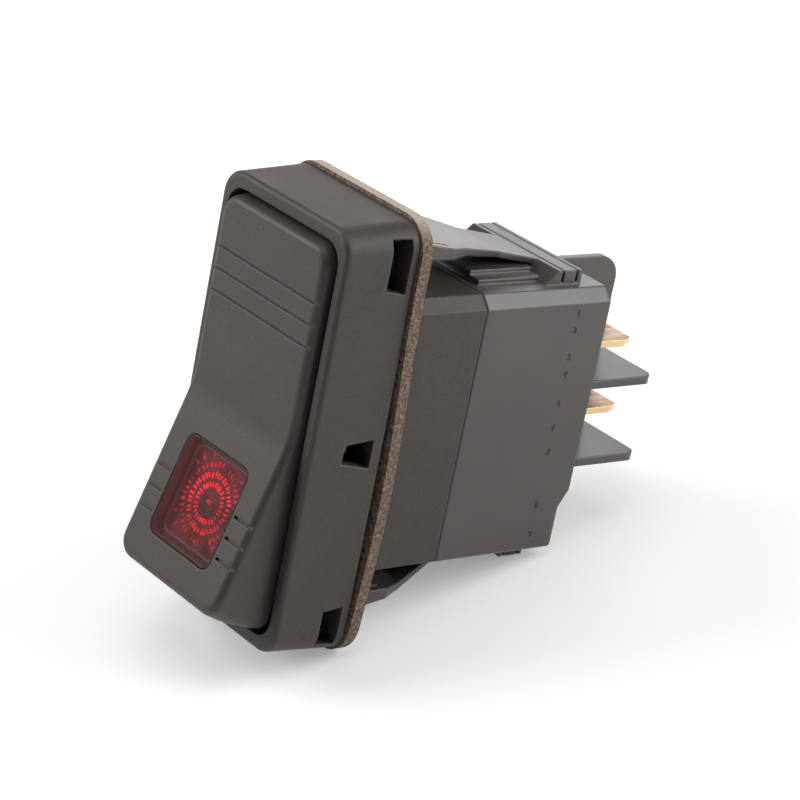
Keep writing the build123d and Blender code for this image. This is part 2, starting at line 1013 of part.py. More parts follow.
def indicator_lamp():
    """Small round lamp with a domed front and a flange."""
    back = lamp_seat()
    body = rod_y(lamp_radius, back - lamp_body_length, back, lamp_side, lamp_height)
    flange = rod_y(
        lamp_radius + lamp_flange, back - lamp_flange_thickness, back, lamp_side, lamp_height
    )
    dome = Pos(lamp_side, back - lamp_body_length, lamp_height) * Sphere(lamp_radius)
    return body + flange + dome


def lead_path(points):
    """Five-sided stand-in for round wire, along straight runs with each corner eased."""
    path = FilletPolyline(*points, radius=lead_bend)
    start = Plane(origin=path @ 0, z_dir=path % 0)
    return sweep(start * RegularPolygon(lead_wire / 2, wire_sides), path=path)


def lamp_return_lead():
    """Wire from the lamp straight to the lower lamp blade, lying on its upper face."""
    x = lamp_side - lead_spread
    side_x = lead_join_offset - column_offset
    z = -row_pitch + blade_half + lead_wire / 2
    return lead_path(
        [
            (x, lamp_seat(), lamp_height),
            (x, return_turn, lamp_height),
            (side_x, lamp_blade_root - return_run, z),
            (side_x, lamp_blade_root + lead_overlap, z),
        ]
    )


def lamp_joining_lead():
    """Wire from the lamp to the lower end of the resistor."""
    x = lamp_side + lead_spread
    depth = carrier_back + resistor_standoff
    return lead_path(
        [
            (x, lamp_seat(), lamp_height),
            (x, carrier_back + lead_rise, lamp_height),
            (-column_offset, depth, lamp_height + lead_climb),
            (-column_offset, depth, -resistor_length / 2),
        ]
    )


def lamp_feed_lead():
    """Wire from the upper end of the resistor to the upper lamp blade's lower face."""
    depth = carrier_back + resistor_standoff
    z = row_pitch - blade_half - lead_wire / 2
    return lead_path(
        [
            (-column_offset, depth, resistor_length / 2),
            (-column_offset, depth, z),
            (-column_offset, lamp_blade_root + lead_overlap, z),
        ]
    )


def lamp_resistor():
    """Series resistor on the feed wire."""
    start = Plane(
        origin=(-column_offset, carrier_back + resistor_standoff, -resistor_length / 2),
        z_dir=(0, 0, 1),
    )
    return extrude(start * Circle(resistor_radius), amount=resistor_length)


def chamber_seal():
    """Soft ring clamped between the carrier plate and the base."""
    ring = Rectangle(
        chamber_width - 2 * carrier_clearance, chamber_height - 2 * carrier_clearance
    )
    ring -= Rectangle(chamber_width - 2 * seal_width, chamber_height - 2 * seal_width)
    return prism_y(ring, carrier_back, seal_back)


def stored(shape):
    """Turn a level piece of the rocker to its stored place, upper end pressed."""
    return turn_about_x(shape, -rocker_tilt, pivot_y)


def lever_stored(shape):
    """Turn a level piece of the lever to its stored place, switch off."""
    return turn_about_x(shape, lever_swing, knife_y)


def build():
    """Every piece of the switch, by name."""
    return {
        "front_housing": front_housing(),
        "panel_gasket": panel_gasket(),
        "terminal_base": terminal_base(),
        "lamp_carrier": lamp_carrier(),
        "chamber_seal": chamber_seal(),
        "rocker": stored(rocker_level()),
        "lens": stored(lens_level()),
        "plunger": stored(plunger_level()),
        "plunger_spring": stored(plunger_spring_level()),
        "contact_lever": lever_stored(lever_level()),
        "moving_contact": lever_stored(moving_contact_level()),
        "fixed_contact": fixed_contact(),
        "common_terminal": common_terminal(),
        "load_terminal": load_terminal(),
        "lamp_feed_terminal": blade(-column_offset, row_pitch, lamp_blade_root),
        "lamp_return_terminal": blade(-column_offset, -row_pitch, lamp_blade_root),
        "indicator_lamp": indicator_lamp(),
        "lamp_feed_lead": lamp_feed_lead(),
        "lamp_joining_lead": lamp_joining_lead(),
        "lamp_return_lead": lamp_return_lead(),
        "lamp_resistor": lamp_resistor(),
    }


def main():
    os.makedirs("parts", exist_ok=True)
    for name, shape in build().items():
        export_step(shape, f"parts/{name}.step")


if __name__ == "__main__":
    main()
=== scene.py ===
import math
import random

import bmesh
import bpy
from bpy.props import FloatProperty, IntProperty, PointerProperty, StringProperty
from bpy.types import Operator, Panel, PropertyGroup
from mathutils import Matrix, Vector


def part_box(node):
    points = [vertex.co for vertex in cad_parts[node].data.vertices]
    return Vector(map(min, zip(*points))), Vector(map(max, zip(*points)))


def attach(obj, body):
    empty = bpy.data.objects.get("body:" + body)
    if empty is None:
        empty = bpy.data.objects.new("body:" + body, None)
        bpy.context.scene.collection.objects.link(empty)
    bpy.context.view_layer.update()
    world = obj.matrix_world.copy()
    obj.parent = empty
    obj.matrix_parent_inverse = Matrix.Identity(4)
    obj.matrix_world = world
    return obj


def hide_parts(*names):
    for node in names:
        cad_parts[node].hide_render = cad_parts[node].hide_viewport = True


bl_info = {
    "name": "Rocker power switch",
    "version": (1, 0, 0),
    "blender": (4, 5, 0),
    "location": "3D View > Sidebar > Switch",
    "description": "Dresses a snap-in rocker switch: moulded nylon, red lens, gasket, brass blades and stage",
    "category": "Object",
}

MM = 0.001
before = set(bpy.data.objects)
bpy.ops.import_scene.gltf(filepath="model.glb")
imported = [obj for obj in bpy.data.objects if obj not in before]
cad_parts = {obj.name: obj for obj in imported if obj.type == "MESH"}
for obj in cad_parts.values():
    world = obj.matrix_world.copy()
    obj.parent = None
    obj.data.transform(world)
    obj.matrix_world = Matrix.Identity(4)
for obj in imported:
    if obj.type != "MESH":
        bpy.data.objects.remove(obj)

# The rocker's place in the frame, in millimetres: its hinge, faces and lens
PIVOT_Y = -7.0
PADDLE_TILT = 17.6
FACE_DISTANCE = 5.3
LENS_CENTRE = 12.38
LENS_WIDTH = 11.7
LENS_HEIGHT = 12.2

# The lens's inside, in millimetres: the black line of painted shade round the plate's face, the floor and the
# prisms on it
GAP_SHADE_WIDTH = 0.13
FLOOR_MARGIN = 1.75
FLOOR_CORNER = 0.6
FLOOR_THICKNESS = 0.12
FLOOR_UNDER_PRISMS = 0.1
PRISM_SIZE = (0.66, 0.29, 0.16)
PRISM_TOP_SHARE = (0.8, 0.25, 1)
PRISM_MARGIN = 2.2

# The prisms in each ring, how bright each ring's painted glow and painted glints are, and the prisms at the
# centre
RING_COUNTS = (27, 38, 42, 22, 26)
RING_GLOW_LEVELS = ("near", "near", "middle", "far", "far")
CENTRE_PRISMS = ((0.0, 0.0), (0.16, 0.22), (-0.14, 0.18))

# How unlike each other the prisms are: shares of their spacing and size, and millimetres
PRISM_SEED = 7
TURN_SHAKE = 0.16
RADIUS_SHAKE = 0.09
LENGTH_SHARES = (0.72, 1.08)
WIDTH_SHARES = (0.75, 1.1)

# The plate's finishes, in the order of its material slots: its face, a black line of painted shade, painted
# shade on its sides and back
FACE_FINISH = 0
GAP_SHADE_FINISH = 1
SIDE_SHADE_FINISH = 2

# The raised numbers' places on the body's side, in millimetres
NUMBERS_Y = 25.2
NUMBER_HEIGHTS = (13.55, 11.5, 8.2, 6.1, 2.4, -0.6, -3.7, -10.4, -14.1)
TEXT_SIZE_FOR_HEIGHT = 1.35

# The gasket's bow is this power of a cosine, so it leaves the bezel gently
BOW_POWER = 1.5

# Faces that turn less than the first angle are shaded as one, and less than the second are one
SMOOTH_BELOW = math.radians(35)
FLAT_BELOW = math.radians(1)
FACES_THAT_WAY = 0.9
MERGE_WITHIN = 0.5e-6

# The finishes' faint unevenness in millimetres, and a Map Range node's sockets in order
FAINT_DEPTH = 0.01
RANGE = ("Value", "From Min", "From Max", "To Min", "To Max")

# The camera that the photograph was taken with, worked out from the switch's corners
CAMERA_PLACE = (245.40, -207.00, 118.89)
CAMERA_RIGHT = (0.59947, 0.77854, 0.18578)
CAMERA_DOWN = (0.38165, -0.07401, -0.92134)
CAMERA_FOCAL_PIXELS = 3042.0
PICTURE_PIXELS = 800
SENSOR_WIDTH = 36.0
NEAREST_SEEN = 0.01
FARTHEST_SEEN = 10.0

# The floor, the softboxes' places over it and their widths, in metres
FLOOR_WIDTH = 3.0
LIT_REACH = (0.2, 0.4)
LIT_POINT = (0, 0.01, 0.0)
TOP_SOFTBOX = ((0.0, 0.045, 0.47), 0.40)
LEFT_SOFTBOX = ((-0.30, -0.25, 0.30), 0.30)
RIGHT_SOFTBOX = ((0.25, 0.325, 0.208), 0.30)
RIM_SOFTBOX = ((-0.349, 0.329, 0.162), 0.25)


def linear(colour):
    """An sRGB hex colour as linear RGBA."""
    channels = [int(colour[i : i + 2], 16) / 255 for i in (1, 3, 5)]
    return [c / 12.92 if c <= 0.04045 else ((c + 0.055) / 1.055) ** 2.4 for c in channels] + [1.0]


def add_node(tree, kind, settings=None, inputs=None):
    """Add a node with its settings. An input that is a socket is linked, any other is set."""
    node = tree.nodes.new(kind)
    for name, value in (settings or {}).items():
        setattr(node, name, value)
    for socket, value in (inputs or {}).items():
        if isinstance(value, bpy.types.NodeSocket):
            tree.links.new(value, node.inputs[socket])
        else:
            node.inputs[socket].default_value = value
    return node


def new_material(name):
    """An empty node material, with its tree and its output."""
    material = bpy.data.materials.new(name)
    material.use_nodes = True
    material.node_tree.nodes.clear()
    return material, material.node_tree, material.node_tree.nodes.new("ShaderNodeOutputMaterial")


def pattern(tree, size, detail, roughness=0.5, stretch=(1, 1, 1)):
    """Noise on the piece's own coordinates, with blotches about size millimetres across."""
    place = add_node(tree, "ShaderNodeTexCoord").outputs["Object"]
    stretched = add_node(tree, "ShaderNodeMapping", inputs={"Vector": place, "Scale": stretch})
    return add_node(
        tree,
        "ShaderNodeTexNoise",
        inputs={
            "Vector": stretched.outputs["Vector"],
            "Scale": 1 / (size * MM),
            "Detail": detail,
            "Roughness": roughness,
        },
    ).outputs["Fac"]


def layered(tree, colour, layers):
    """Lay colours over a first one, each by its share where a pattern lies between two levels."""
    for source, levels, shares, over in layers:
        share = add_node(
            tree, "ShaderNodeMapRange", inputs=dict(zip(RANGE, (source, *levels, *shares)))
        ).outputs["Result"]
        # A Mix node's colour sockets share names with its number sockets, so they go by index.
        colour = add_node(
            tree,
            "ShaderNodeMix",
            settings={"data_type": "RGBA"},
            inputs={0: share, 6: colour, 7: over},
        ).outputs[2]
    return colour


def relief(tree, height, depth, edge_radius):
    """A relief depth millimetres deep, on edges rounded as a mould or a die leaves them."""
    rounded = add_node(
        tree, "ShaderNodeBevel", settings={"samples": 6}, inputs={"Radius": edge_radius * MM}
    )
    return add_node(
        tree,
        "ShaderNodeBump",
        inputs={
            "Height": height,
            "Distance": depth * MM,
            "Strength": 1.0,
            "Normal": rounded.outputs["Normal"],
        },
    ).outputs["Normal"]


def unevenness(tree, size, detail):
    """A faint waviness or tooth whose swells are about size millimetres across."""
    return add_node(
        tree,
        "ShaderNodeBump",
        inputs={
            "Height": pattern(tree, size, detail),
            "Distance": FAINT_DEPTH * MM,
            "Strength": 1.0,
        },
    ).outputs["Normal"]


def edge_wear(tree, radius, grit):
    """Where handling polishes a piece and a highlight is painted: pale patches over the last stretch before
    each edge.
    """
    rounded = add_node(
        tree, "ShaderNodeBevel", settings={"samples": 6}, inputs={"Radius": radius * MM}
    )
    plain = add_node(tree, "ShaderNodeNewGeometry")
    alike = add_node(
        tree,
        "ShaderNodeVectorMath",
        settings={"operation": "DOT_PRODUCT"},
        inputs={0: rounded.outputs["Normal"], 1: plain.outputs["Normal"]},
    ).outputs["Value"]
    near_edge = add_node(
        tree, "ShaderNodeMapRange", inputs=dict(zip(RANGE, (alike, 0.8, 0.995, 1.0, 0.0)))
    )
    patches = add_node(
        tree, "ShaderNodeMapRange", inputs=dict(zip(RANGE, (grit, 0.3, 0.65, 0.1, 0.8)))
    )
    return add_node(
        tree,
        "ShaderNodeMath",
        settings={"operation": "MULTIPLY"},
        inputs={0: near_edge.outputs["Result"], 1: patches.outputs["Result"]},
    ).outputs["Value"]


def facing_up(tree):
    """How far a face looks up, from -1 to 1."""
    normal = add_node(tree, "ShaderNodeNewGeometry").outputs["Normal"]
    return add_node(tree, "ShaderNodeSeparateXYZ", inputs={"Vector": normal}).outputs["Z"]


def moulded_nylon(name, colour, pale, grain, depth, roughness):
    """Glass-filled nylon from a spark-eroded mould: dull black with a fine even grain.

    The eye sees a soft warm grey sheen, slightly cloudy, worn paler in patches along the edges
    and there partly painted highlight, and a rare pale speck of dust.
    """
    material, tree, output = new_material(name)
    clouds = pattern(tree, 7.0, 4.0, roughness=0.6)
    grit = pattern(tree, grain, 2.0, roughness=0.65)
    dust = pattern(tree, 0.32, 0.0)
    grain_dust_wear_and_highlight = layered(
        tree,
        linear(colour),
        (
            (grit, (0.38, 0.66), (0.0, 0.6), linear(pale)),
            (clouds, (0.35, 0.75), (0.0, 0.5), linear(pale)),
            (dust, (0.87, 0.91), (0.0, 0.4), linear("#8d8883")),
            # Edge wear and a painted highlight: pale patches along the edges.
            (edge_wear(tree, 0.45, grit), (0.0, 1.0), (0.0, 1.0), linear("#6d6764")),
        ),
    )
    dullness = add_node(
        tree,
        "ShaderNodeMapRange",
        inputs=dict(zip(RANGE, (clouds, 0.3, 0.7, roughness - 0.05, roughness + 0.06))),
    )
    shader = add_node(
        tree,
        "ShaderNodeBsdfPrincipled",
        inputs={
            "Base Color": grain_dust_wear_and_highlight,
            "Roughness": dullness.outputs["Result"],
            "IOR": 1.46,
            "Normal": relief(tree, grit, depth, 0.3),
        },
    )
    tree.links.new(shader.outputs["BSDF"], output.inputs["Surface"])
    return material


def body_nylon(name, colour, pale, roughness):
    """Glass-filled nylon from a polished mould: smoother, with a faint cloudy sheen."""
    material, tree, output = new_material(name)
    clouds = pattern(tree, 12.0, 3.0)
    skin = pattern(tree, 0.35, 2.0)
    dullness = add_node(
        tree,
        "ShaderNodeMapRange",
        inputs=dict(zip(RANGE, (clouds, 0.3, 0.7, roughness - 0.03, roughness + 0.05))),
    )
    shader = add_node(
        tree,
        "ShaderNodeBsdfPrincipled",
        inputs={
            "Base Color": layered(
                tree, linear(colour), ((clouds, (0.3, 0.75), (0.0, 0.6), linear(pale)),)
            ),
            "Roughness": dullness.outputs["Result"],
            "IOR": 1.58,
            "Normal": relief(tree, skin, 0.004, 0.35),
        },
    )
    tree.links.new(shader.outputs["BSDF"], output.inputs["Surface"])
    return material


def gasket_sheet(name, colour, middle, pale):
    """Rubber-bound cork and fibre sheet: warm brown and matte, with painted top light making its top edge
    paler.
    """
    material, tree, output = new_material(name)
    blotches = pattern(tree, 0.4, 4.0, roughness=0.75)
    fibres = pattern(tree, 0.4, 3.0, roughness=0.7, stretch=(1.0, 0.5, 2.0))
    ramp = add_node(tree, "ShaderNodeValToRGB", inputs={"Fac": blotches})
    first, last = ramp.color_ramp.elements
    first.position = 0.3
    first.color = linear(colour)
    last.position = 0.68
    last.color = linear(pale)
    ramp.color_ramp.elements.new(0.5).color = linear(middle)
    fibres_and_painted_top_light = layered(
        tree,
        ramp.outputs["Color"],
        (
            (fibres, (0.38, 0.5), (0.45, 0.0), linear(colour)),
            # Painted top light: faces that look up are laid over with a pale colour.
            (facing_up(tree), (0.5, 0.95), (0.0, 0.6), linear("#cbbfae")),
        ),
    )
    pitted = add_node(
        tree,
        "ShaderNodeBump",
        inputs={"Height": blotches, "Distance": 0.1 * MM, "Strength": 0.7},
    )
    fibrous = add_node(
        tree,
        "ShaderNodeBump",
        inputs={
            "Height": fibres,
            "Distance": 0.12 * MM,
            "Strength": 0.8,
            "Normal": pitted.outputs["Normal"],
        },
    )
    shader = add_node(
        tree,
        "ShaderNodeBsdfPrincipled",
        inputs={
            "Base Color": fibres_and_painted_top_light,
            "Roughness": 0.8,
            "IOR": 1.45,
            "Normal": fibrous.outputs["Normal"],
        },
    )
    tree.links.new(shader.outputs["BSDF"], output.inputs["Surface"])
    return material


def rolled_metal(tree, output, base, roughness):
    """Close a metal's tree: rolling lines show in its roughness and as a fine relief."""
    lines = pattern(tree, 0.7, 4.0, stretch=(1.0, 0.05, 1.0))
    dullness = add_node(
        tree,
        "ShaderNodeMapRange",
        inputs=dict(zip(RANGE, (lines, 0.3, 0.7, roughness - 0.07, roughness + 0.1))),
    )
    shader = add_node(
        tree,
        "ShaderNodeBsdfPrincipled",
        inputs={
            "Base Color": base,
            "Metallic": 1.0,
            "Roughness": dullness.outputs["Result"],
            "Normal": relief(tree, lines, 0.004, 0.12),
        },
    )
    tree.links.new(shader.outputs["BSDF"], output.inputs["Surface"])


def stamped_metal(name, colour, worn, roughness):
    """Contact alloy, copper strip or drawn wire: bright, with fine lines and faint stains."""
    material, tree, output = new_material(name)
    stains = pattern(tree, 3.0, 3.0)
    base = layered(tree, linear(colour), ((stains, (0.4, 0.75), (0.0, 0.6), linear(worn)),))
    rolled_metal(tree, output, base, roughness)
    return material


def sheared_brass(name, rolled, cut, roughness):
    """Brass sheared from strip: rolled faces dulled to a pinkish tan, cut edges bright gold."""
    material, tree, output = new_material(name)
    stains = pattern(tree, 2.2, 3.0)
    flat = add_node(
        tree, "ShaderNodeMath", settings={"operation": "ABSOLUTE"}, inputs={0: facing_up(tree)}
    ).outputs["Value"]
    dulled = layered(
        tree, linear(rolled), ((stains, (0.4, 0.7), (0.0, 0.7), linear("#96785a")),)
    )
    base = layered(tree, linear(cut), ((flat, (0.6, 0.95), (0.0, 1.0), dulled),))
    rolled_metal(tree, output, base, roughness)
    return material


def plain_moulding(name, colour, pale, roughness):
    """Unseen moulded, lacquered or rubber pieces: one even colour with a faint mottle."""
    material, tree, output = new_material(name)
    mottle = pattern(tree, 0.6, 3.0)
    shader = add_node(
        tree,
        "ShaderNodeBsdfPrincipled",
        inputs={
            "Base Color": layered(
                tree, linear(colour), ((mottle, (0.3, 0.8), (0.0, 1.0), linear(pale)),)
            ),
            "Roughness": roughness,
            "Normal": unevenness(tree, 0.6, 3.0),
        },
    )
    tree.links.new(shader.outputs["BSDF"], output.inputs["Surface"])
    return material


def lens_polycarbonate(name, colour, cover, roughness):
    """Clear red polycarbonate, polished: it tints and dims the prisms moulded under it.

    With a heavy cover it also makes the black line of painted shade round the plate's face and the painted
    shade on its sides.
    """
    material, tree, output = new_material(name)
    shader = add_node(
        tree,
        "ShaderNodeBsdfPrincipled",
        inputs={
            "Base Color": linear(colour),
            "Roughness": roughness,
            "IOR": 1.5,
            "Alpha": cover,
            "Normal": unevenness(tree, 2.5, 1.0),
        },
    )
    tree.links.new(shader.outputs["BSDF"], output.inputs["Surface"])
    return material


def prism_red(name, dull, bright, glow, painted_glint_size=0.8):
    """The lens's moulded prisms: real ones throw light back and look lit with the lamp off; here a painted
    glow and painted glints stand in for that.
    """
    material, tree, output = new_material(name)
    both = add_node(
        tree,
        "ShaderNodeMath",
        settings={"operation": "ADD"},
        inputs={0: pattern(tree, painted_glint_size, 1.0), 1: pattern(tree, 4.0, 0.0)},
    )
    halved = add_node(
        tree,
        "ShaderNodeMapRange",
        inputs=dict(zip(RANGE, (both.outputs["Value"], 0.0, 2.0, 0.0, 1.0))),
    )
    # Painted glints: patches of bright red among dull red.
    ramp = add_node(tree, "ShaderNodeValToRGB", inputs={"Fac": halved.outputs["Result"]})
    first, last = ramp.color_ramp.elements
    first.position = 0.4
    first.color = linear(dull)
    last.position = 0.56
    last.color = linear(bright)
    shader = add_node(
        tree,
        "ShaderNodeBsdfPrincipled",
        inputs={
            "Base Color": ramp.outputs["Color"],
            "Roughness": 0.5,
            "IOR": 1.4,
            # Painted glow, though the prisms are no lamp.
            "Emission Color": ramp.outputs["Color"],
            "Emission Strength": glow,
        },
    )
    tree.links.new(shader.outputs["BSDF"], output.inputs["Surface"])
    return material


def lamp_glass(name):
    """Clear lamp glass, seen only as a pale glint behind the lens."""
    material, tree, output = new_material(name)
    shader = add_node(
        tree,
        "ShaderNodeBsdfPrincipled",
        inputs={
            "Base Color": linear("#e6e1d8"),
            "Roughness": 0.08,
            "Alpha": 0.5,
            "Normal": unevenness(tree, 1.5, 1.0),
        },
    )
    tree.links.new(shader.outputs["BSDF"], output.inputs["Surface"])
    return material


def seen_as_white(tree):
    """1 for rays that see the background: straight on, in a reflection or through glass."""
    path = add_node(tree, "ShaderNodeLightPath")
    seen = path.outputs["Is Camera Ray"]
    for ray in ("Is Glossy Ray", "Is Transmission Ray"):
        seen = add_node(
            tree,
            "ShaderNodeMath",
            settings={"operation": "MAXIMUM"},
            inputs={0: seen, 1: path.outputs[ray]},
        ).outputs["Value"]
    return seen


def paper_floor(name, colour, lift):
    """White paper sweep: matte and near white, it keeps the switch's soft shadow."""
    material, tree, output = new_material(name)
    paper = add_node(
        tree,
        "ShaderNodeBsdfDiffuse",
        inputs={"Color": linear(colour), "Normal": unevenness(tree, 0.9, 2.0)},
    )
    # Past the softboxes' reach the sheet is seen white, so it has no edge from any side.
    place = add_node(tree, "ShaderNodeTexCoord").outputs["Object"]
    reach = add_node(
        tree, "ShaderNodeVectorMath", settings={"operation": "LENGTH"}, inputs={0: place}
    ).outputs["Value"]
    whiter = add_node(
        tree, "ShaderNodeMapRange", inputs=dict(zip(RANGE, (reach, *LIT_REACH, lift, 1.0)))
    )
    glow = add_node(
        tree,
        "ShaderNodeMath",
        settings={"operation": "MULTIPLY"},
        inputs={0: seen_as_white(tree), 1: whiter.outputs["Result"]},
    )
    lamp = add_node(tree, "ShaderNodeEmission", inputs={"Strength": glow.outputs["Value"]})
    both = add_node(
        tree,
        "ShaderNodeAddShader",
        inputs={0: paper.outputs["BSDF"], 1: lamp.outputs["Emission"]},
    )
    # The sheet shows only from above, so a low view sees the switch and not the sheet's back.
    back = add_node(tree, "ShaderNodeNewGeometry").outputs["Backfacing"]
    clear = add_node(tree, "ShaderNodeBsdfTransparent")
    sided = add_node(
        tree,
        "ShaderNodeMixShader",
        inputs={0: back, 1: both.outputs["Shader"], 2: clear.outputs["BSDF"]},
    )
    tree.links.new(sided.outputs["Shader"], output.inputs["Surface"])
    return material


def select_nothing():
    """Leave nothing selected and no edit open."""
    if bpy.context.object and bpy.context.object.mode != "OBJECT":
        bpy.ops.object.mode_set(mode="OBJECT")
    bpy.ops.object.select_all(action="DESELECT")


def select_only(piece):
    """Make one piece the selected and active one."""
    select_nothing()
    piece.select_set(True)
    bpy.context.view_layer.objects.active = piece


def settle(piece, material, body):
    """Bake a piece's place into its mesh, give it its finish and put it on its body."""
    select_only(piece)
    bpy.ops.object.transform_apply(location=True, rotation=True, scale=True)
    piece.data.materials.clear()
    piece.data.materials.append(material)
    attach(piece, body)


def copied(piece, place):
    """A copy of a piece with its own mesh, at its own place."""
    copy = piece.copy()
    copy.data = piece.data.copy()
    bpy.context.collection.objects.link(copy)
    copy.matrix_world = place
    return copy


def joined(pieces, name):
    """Join pieces into the first of them and name it."""
    select_nothing()
    for piece in pieces:
        piece.select_set(True)
    bpy.context.view_layer.objects.active = pieces[0]
    bpy.ops.object.join()
    whole = bpy.context.object
    whole.name = name
    return whole


def merged_copy(node, name):
    """A copy of a CAD node with its loose triangles merged."""
    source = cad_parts[node]
    piece = source.copy()
    piece.data = source.data.copy()
    piece.parent = None
    for key in list(piece.keys()):
        if key.startswith("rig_"):
            del piece[key]
    piece.name = name
    bpy.context.collection.objects.link(piece)
    select_only(piece)
    bpy.ops.mesh.customdata_custom_splitnormals_clear()
    bpy.ops.object.mode_set(mode="EDIT")
    bpy.ops.mesh.select_all(action="SELECT")
    bpy.ops.mesh.remove_doubles(threshold=MERGE_WITHIN)
    bpy.ops.object.mode_set(mode="OBJECT")
    return piece


def paddle_matrix(depth):
    """The lens's plane, depth millimetres under the paddle's face: X across, Z out of the face."""
    tilt = math.radians(PADDLE_TILT)
    along = Vector((0, -math.sin(tilt), -math.cos(tilt)))
    out = Vector((0, -math.cos(tilt), math.sin(tilt)))
    centre = Vector((0, PIVOT_Y, 0)) + out * (FACE_DISTANCE - depth) + along * LENS_CENTRE
    across = Vector((1, 0, 0))
    up = out.cross(across)
    turn = Matrix((across, up, out)).transposed().to_4x4()
    return Matrix.Translation(centre * MM) @ turn


class SwitchFinishes(PropertyGroup):
    housing: StringProperty(
        name="Bezel nylon",
        description="Colour of the bezel, as sRGB hex",
        default="#3a3430",
    )
    rocker: StringProperty(
        name="Rocker nylon",
        description="Colour of the rocker, as sRGB hex",
        default="#3b3430",
    )
    base: StringProperty(
        name="Body nylon",
        description="Colour of the rear body, as sRGB hex",
        default="#443e3b",
    )
    brass: StringProperty(
        name="Brass",
        description="Colour of the blades, as sRGB hex",
        default="#b0927c",
    )
    lens: StringProperty(
        name="Lens",
        description="Colour of the lens plate, as sRGB hex",
        default="#7d4a4b",
    )


class SwitchGasket(PropertyGroup):
    bow: FloatProperty(
        name="Bow",
        description="How far the loose sides stand off the bezel",
        default=0.95 * MM,
        unit="LENGTH",
    )
    middle: FloatProperty(
        name="Bow's middle",
        description="Height of the widest part of the bow",
        default=-7.0 * MM,
        unit="LENGTH",
    )
    upper_end: FloatProperty(
        name="Upper end",
        description="Height where the bow starts",
        default=17.5 * MM,
        unit="LENGTH",
    )
    lower_end: FloatProperty(
        name="Lower end",
        description="Height where the bow ends",
        default=-27.0 * MM,
        unit="LENGTH",
    )
    slice: FloatProperty(
        name="Slice",
        description="Length of each straight stretch of the bow",
        default=1.5 * MM,
        unit="LENGTH",
    )


class SwitchLens(PropertyGroup):
    depth: FloatProperty(
        name="Prism depth",
        description="How deep the prisms lie under the face",
        default=1.5 * MM,
        unit="LENGTH",
    )
    rings: IntProperty(
        name="Rings",
        description="Rings of prisms round the centre",
        default=5,
        min=1,
        max=5,
    )
    first_ring: FloatProperty(
        name="First ring",
        description="Radius of the first ring",
        default=2.15 * MM,
        unit="LENGTH",
    )
    ring_pitch: FloatProperty(
        name="Ring pitch",
        description="From one ring to the next",
        default=1.12 * MM,
        unit="LENGTH",
    )


class SwitchNumbers(PropertyGroup):
    height: FloatProperty(
        name="Number height",
        description="Height of each raised number",
        default=0.85 * MM,
        unit="LENGTH",
    )
    relief: FloatProperty(
        name="Relief",
        description="How far the numbers stand out",
        default=0.07 * MM,
        unit="LENGTH",
    )


class SwitchStage(PropertyGroup):
    lean: FloatProperty(
        name="Lean",
        description="Slope of the floor under the switch, which rests on its gasket and rear lug",
        default=math.radians(16.9),
        subtype="ANGLE",
    )
    paper: StringProperty(
        name="Paper",
        description="Colour of the floor, as sRGB hex",
        default="#e9e9e9",
    )
    lift: FloatProperty(
        name="Lift",
        description="How much whiter the floor is seen than lit",
        default=0.294,
    )
    top_light: FloatProperty(
        name="Top light",
        description="Power of the overhead softbox",
        default=0.94,
        unit="POWER",
    )
    left_light: FloatProperty(
        name="Left light",
        description="Power of the left softbox",
        default=1.8,
        unit="POWER",
    )
    right_light: FloatProperty(
        name="Right light",
        description="Power of the right softbox",
        default=1.58,
        unit="POWER",
    )
    rim_light: FloatProperty(
        name="Rim light",
        description="Power of the low softbox far behind",
        default=0.38,
        unit="POWER",
    )
    ambient: FloatProperty(
        name="Ambient",
        description="Strength of the even light all round",
        default=0.004,
    )


class SWITCH_OT_finishes(Operator):
    """Give every carried-over CAD piece its real material"""

    bl_idname = "switch.finishes"
    bl_label = "Finish the moulded and metal pieces"

    def execute(self, context):
        look = context.scene.switch_finishes
        bezel = moulded_nylon("spark_eroded_nylon_bezel", look.housing, "#4c4540", 0.22, 0.014, 0.55)
        rocker = moulded_nylon("spark_eroded_nylon_rocker", look.rocker, "#4e4641", 0.2, 0.014, 0.5)
        base = body_nylon("polished_nylon_base", look.base, "#554e4a", 0.3)
        brass = sheared_brass("sheared_brass_strip", look.brass, "#e6c592", 0.3)
        silver = stamped_metal("silver_alloy_contact", "#cfccc6", "#a9a59c", 0.3)
        wire = stamped_metal("tinned_wire", "#b9b5ae", "#8f8b84", 0.3)
        pieces = {
            "front_housing": bezel,
            "rocker": rocker,
            "terminal_base": base,
            "lamp_carrier": plain_moulding("plain_nylon_carrier", "#232120", "#2e2b29", 0.5),
            "chamber_seal": plain_moulding("soft_black_rubber", "#151414", "#1f1d1d", 0.75),
            "plunger": plain_moulding("natural_acetal", "#d6d3ca", "#e2dfd7", 0.35),
            "plunger_spring": stamped_metal("drawn_spring_wire", "#9fa1a4", "#7e8083", 0.28),
            "contact_lever": stamped_metal("rolled_copper_strip", "#c98a5e", "#9c6541", 0.3),
            "moving_contact": silver,
            "fixed_contact": silver,
            "common_terminal": brass,
            "load_terminal": brass,
            "lamp_feed_terminal": brass,
            "lamp_return_terminal": brass,
            "indicator_lamp": lamp_glass("clear_lamp_glass"),
            "lamp_feed_lead": wire,
            "lamp_joining_lead": wire,
            "lamp_return_lead": wire,
            "lamp_resistor": plain_moulding("beige_resistor_lacquer", "#b39a74", "#c4ad88", 0.4),
        }
        for node, material in pieces.items():
            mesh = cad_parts[node].data
            mesh.materials.clear()
            mesh.materials.append(material)
        return {"FINISHED"}


